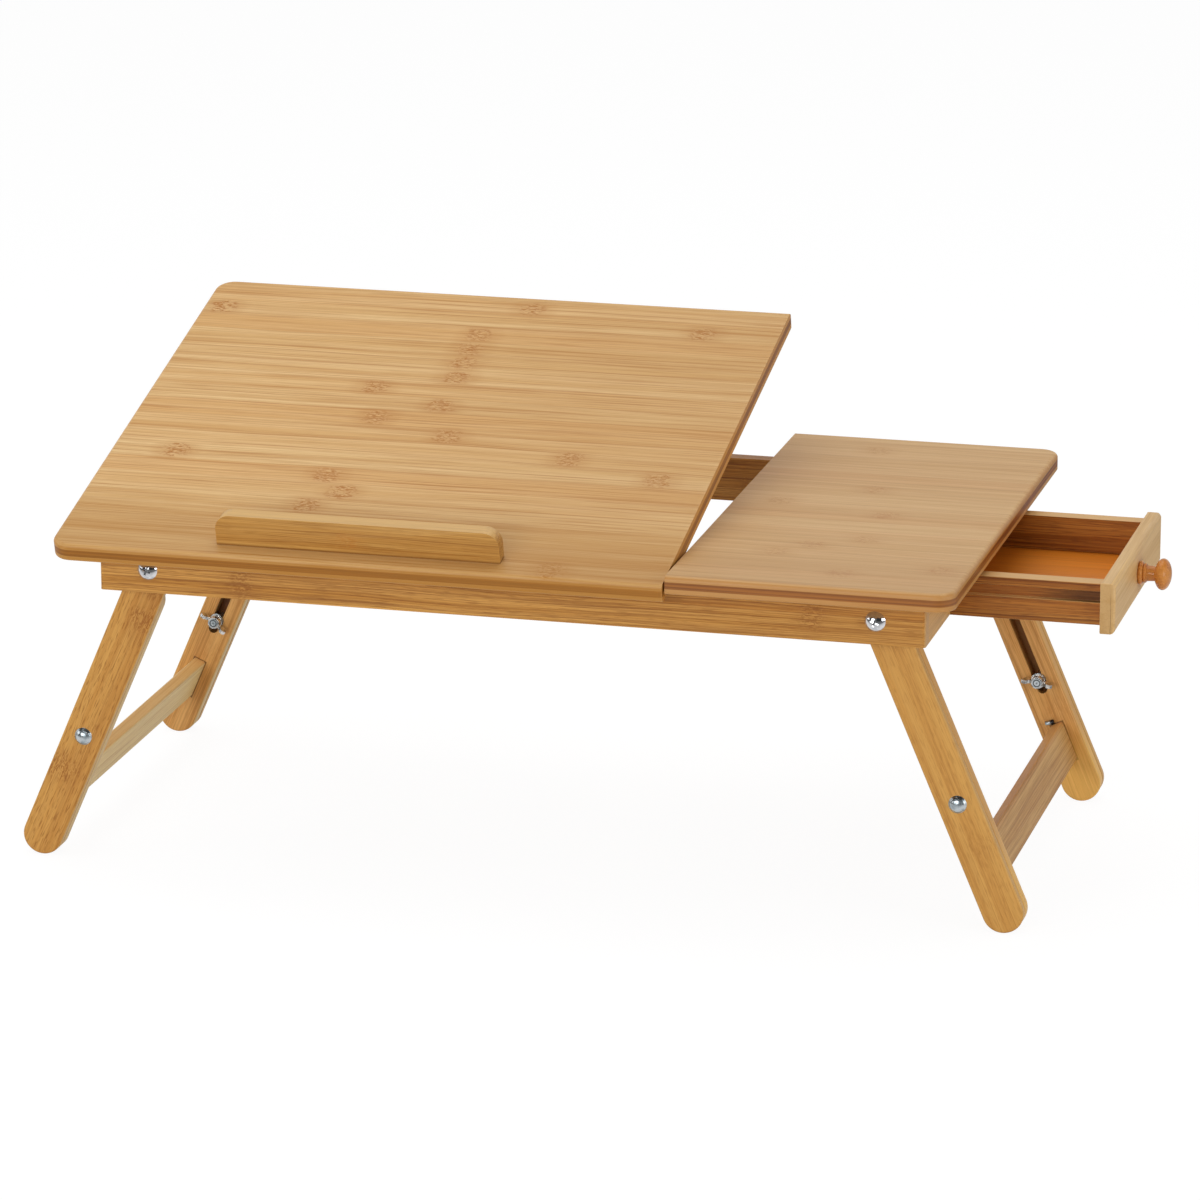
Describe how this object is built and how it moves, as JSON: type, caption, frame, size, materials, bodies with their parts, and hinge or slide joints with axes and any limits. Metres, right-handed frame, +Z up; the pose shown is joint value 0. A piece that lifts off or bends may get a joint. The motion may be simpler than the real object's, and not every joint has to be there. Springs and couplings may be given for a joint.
{
  "type": "laptop stand with drawer",
  "caption": "Folding wooden bed tray with a tilting panel and ledge, a fixed panel over a side drawer, and splayed folding legs that slide to change its height.",
  "frame": {"origin": "on the floor, in the middle of the object's length and depth as shown, with the drawer pulled out", "axes": "+X towards the drawer along the top, +Y from the user's side to the far side, +Z up"},
  "size_m": [0.684, 0.3514, 0.2956],
  "materials": {
    "bamboo_top": "satin lacquer",
    "bamboo_frame": "satin lacquer",
    "bamboo_plain": "satin lacquer",
    "bamboo_leg": "satin lacquer",
    "bamboo_drawer": "satin lacquer",
    "drawer_plywood": "satin lacquer",
    "lacquered_knob": "gloss lacquer",
    "bright_steel": "polished",
    "zinc_steel": "zinc plated",
    "wing_nut_steel": "nickel plated"
  },
  "bodies": {
    "frame": {"fixed_top": "bamboo_top", "front_rail": "bamboo_frame", "rear_rail": "bamboo_frame", "left_end_board": "bamboo_frame", "right_end_board_front": "bamboo_frame", "right_end_board_rear": "bamboo_frame", "centre_stretcher": "bamboo_plain", "notched_strips": "bamboo_plain", "drawer_stop_rail": "bamboo_plain", "drawer_guides": "bamboo_plain", "drawer_runners": "bamboo_plain", "frame_dowels": "bamboo_plain", "pivot_bolts": "bright_steel", "pivot_spacers": "zinc_steel", "lock_nuts": "zinc_steel", "hinge_lower_leaves": "zinc_steel", "hinge_pins": "zinc_steel", "hinge_lower_screws": "zinc_steel"},
    "tilt_panel": {"tilt_top": "bamboo_top", "book_ledge": "bamboo_frame", "ledge_screws": "zinc_steel", "hinge_upper_leaves": "zinc_steel", "hinge_upper_screws": "zinc_steel", "prop_blocks": "bamboo_plain", "prop_block_screws": "zinc_steel"},
    "prop": {"prop_side_bars": "bamboo_plain", "prop_pivot_dowel": "bamboo_plain", "prop_foot_dowel": "bamboo_plain"},
    "left_legs": {"left_leg_front": "bamboo_leg", "left_leg_rear": "bamboo_leg", "left_carriage_bolts": "zinc_steel", "left_washers": "zinc_steel"},
    "left_sliding_legs": {"left_slotted_leg_front": "bamboo_leg", "left_slotted_leg_rear": "bamboo_leg", "left_crossbar": "bamboo_plain", "left_crossbar_dowels": "bamboo_plain"},
    "right_legs": {"right_leg_front": "bamboo_leg", "right_leg_rear": "bamboo_leg", "right_carriage_bolts": "zinc_steel", "right_washers": "zinc_steel"},
    "right_sliding_legs": {"right_slotted_leg_front": "bamboo_leg", "right_slotted_leg_rear": "bamboo_leg", "right_crossbar": "bamboo_plain", "right_crossbar_dowels": "bamboo_plain"},
    "drawer": {"drawer_side_front": "bamboo_drawer", "drawer_side_rear": "bamboo_drawer", "drawer_back": "bamboo_drawer", "drawer_bottom": "drawer_plywood", "drawer_face": "bamboo_drawer", "drawer_knob": "lacquered_knob", "knob_screw": "zinc_steel"},
    "wing_nut_front_left": {"wing_nut_front_left": "wing_nut_steel"},
    "wing_nut_rear_left": {"wing_nut_rear_left": "wing_nut_steel"},
    "wing_nut_front_right": {"wing_nut_front_right": "wing_nut_steel"},
    "wing_nut_rear_right": {"wing_nut_rear_right": "wing_nut_steel"}
  },
  "joints": [
    {"name": "panel_tilt", "type": "hinge", "parent": "frame", "child": "tilt_panel", "pos_m": [0, -0.1535, 0.20389], "axis": [1, 0, 0], "range_deg": [-14.4, 15.6]},
    {"name": "prop_fold", "type": "hinge", "parent": "tilt_panel", "child": "prop", "pos_m": [-0.03247, 0.02513, 0.24604], "axis": [-1, 0, 0], "range_deg": [-49.8, 53.95]},
    {"name": "left_legs_fold", "type": "hinge", "parent": "frame", "child": "left_legs", "pos_m": [-0.25349, 0, 0.18989], "axis": [0, 1, 0], "range_deg": [-113.2, 0]},
    {"name": "left_height", "type": "slide", "parent": "left_legs", "child": "left_sliding_legs", "axis": [-0.3939, 0, -0.9191], "range_m": [0, 0.08]},
    {"name": "right_legs_fold", "type": "hinge", "parent": "frame", "child": "right_legs", "pos_m": [0.19254, 0, 0.18989], "axis": [0, -1, 0], "range_deg": [-113.2, 0]},
    {"name": "right_height", "type": "slide", "parent": "right_legs", "child": "right_sliding_legs", "axis": [0.3939, 0, -0.9191], "range_m": [0, 0.08]},
    {"name": "drawer_slide", "type": "slide", "parent": "frame", "child": "drawer", "axis": [1, 0, 0], "range_m": [-0.09, 0.02]},
    {"name": "wing_nut_front_left_turn", "type": "hinge", "parent": "left_legs", "child": "wing_nut_front_left", "pos_m": [-0.30156, -0.12, 0.07776], "axis": [0, 1, 0], "continuous": true},
    {"name": "wing_nut_rear_left_turn", "type": "hinge", "parent": "left_legs", "child": "wing_nut_rear_left", "pos_m": [-0.30156, 0.12, 0.07776], "axis": [0, 1, 0], "continuous": true},
    {"name": "wing_nut_front_right_turn", "type": "hinge", "parent": "right_legs", "child": "wing_nut_front_right", "pos_m": [0.24061, -0.12, 0.07776], "axis": [0, 1, 0], "continuous": true},
    {"name": "wing_nut_rear_right_turn", "type": "hinge", "parent": "right_legs", "child": "wing_nut_rear_right", "pos_m": [0.24061, 0.12, 0.07776], "axis": [0, 1, 0], "continuous": true}
  ],
  "couplings": [
    {"joint": "prop_fold", "follows": "panel_tilt", "ratio": 3.4497}
  ]
}
